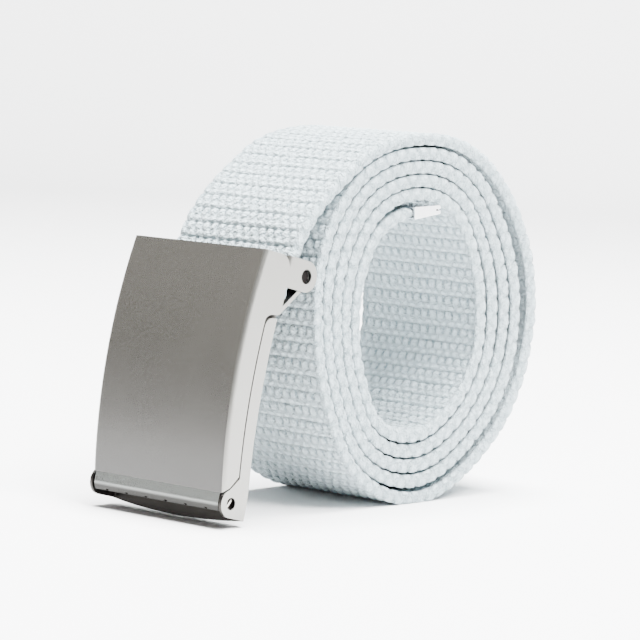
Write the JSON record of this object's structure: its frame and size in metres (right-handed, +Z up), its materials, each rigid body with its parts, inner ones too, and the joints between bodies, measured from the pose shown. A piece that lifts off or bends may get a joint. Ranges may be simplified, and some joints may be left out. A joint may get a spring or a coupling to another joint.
{
  "type": "web belt",
  "caption": "Rolled woven web belt with a metal end tip and a bowed flip-top clamp buckle standing against the roll.",
  "frame": {"origin": "on the floor under the middle of the bounding box", "axes": "+Z up, +Y from the buckle towards the far side of the roll, X along the webbing's width and the roll's axis"},
  "size_m": [0.0426, 0.1182, 0.0914],
  "materials": {
    "webbing": "matt woven cotton",
    "buckle": "satin nickel",
    "tip": "bright"
  },
  "bodies": {
    "belt": {"webbing_strap": "webbing", "strap_tip": "tip", "buckle_frame": "buckle", "hinge_pin": "buckle", "clamp_pin": "buckle"},
    "cover": {"flip_cover": "buckle"},
    "lever": {"clamp_lever": "buckle"}
  },
  "joints": [
    {"name": "cover_flip", "type": "hinge", "parent": "belt", "child": "cover", "pos_m": [0, -0.05581, 0.00592], "axis": [1, 0, 0], "range_deg": [0, 95]},
    {"name": "lever_open", "type": "hinge", "parent": "belt", "child": "lever", "pos_m": [0, -0.03188, 0.05745], "axis": [1, 0, 0], "range_deg": [0, 45]}
  ]
}
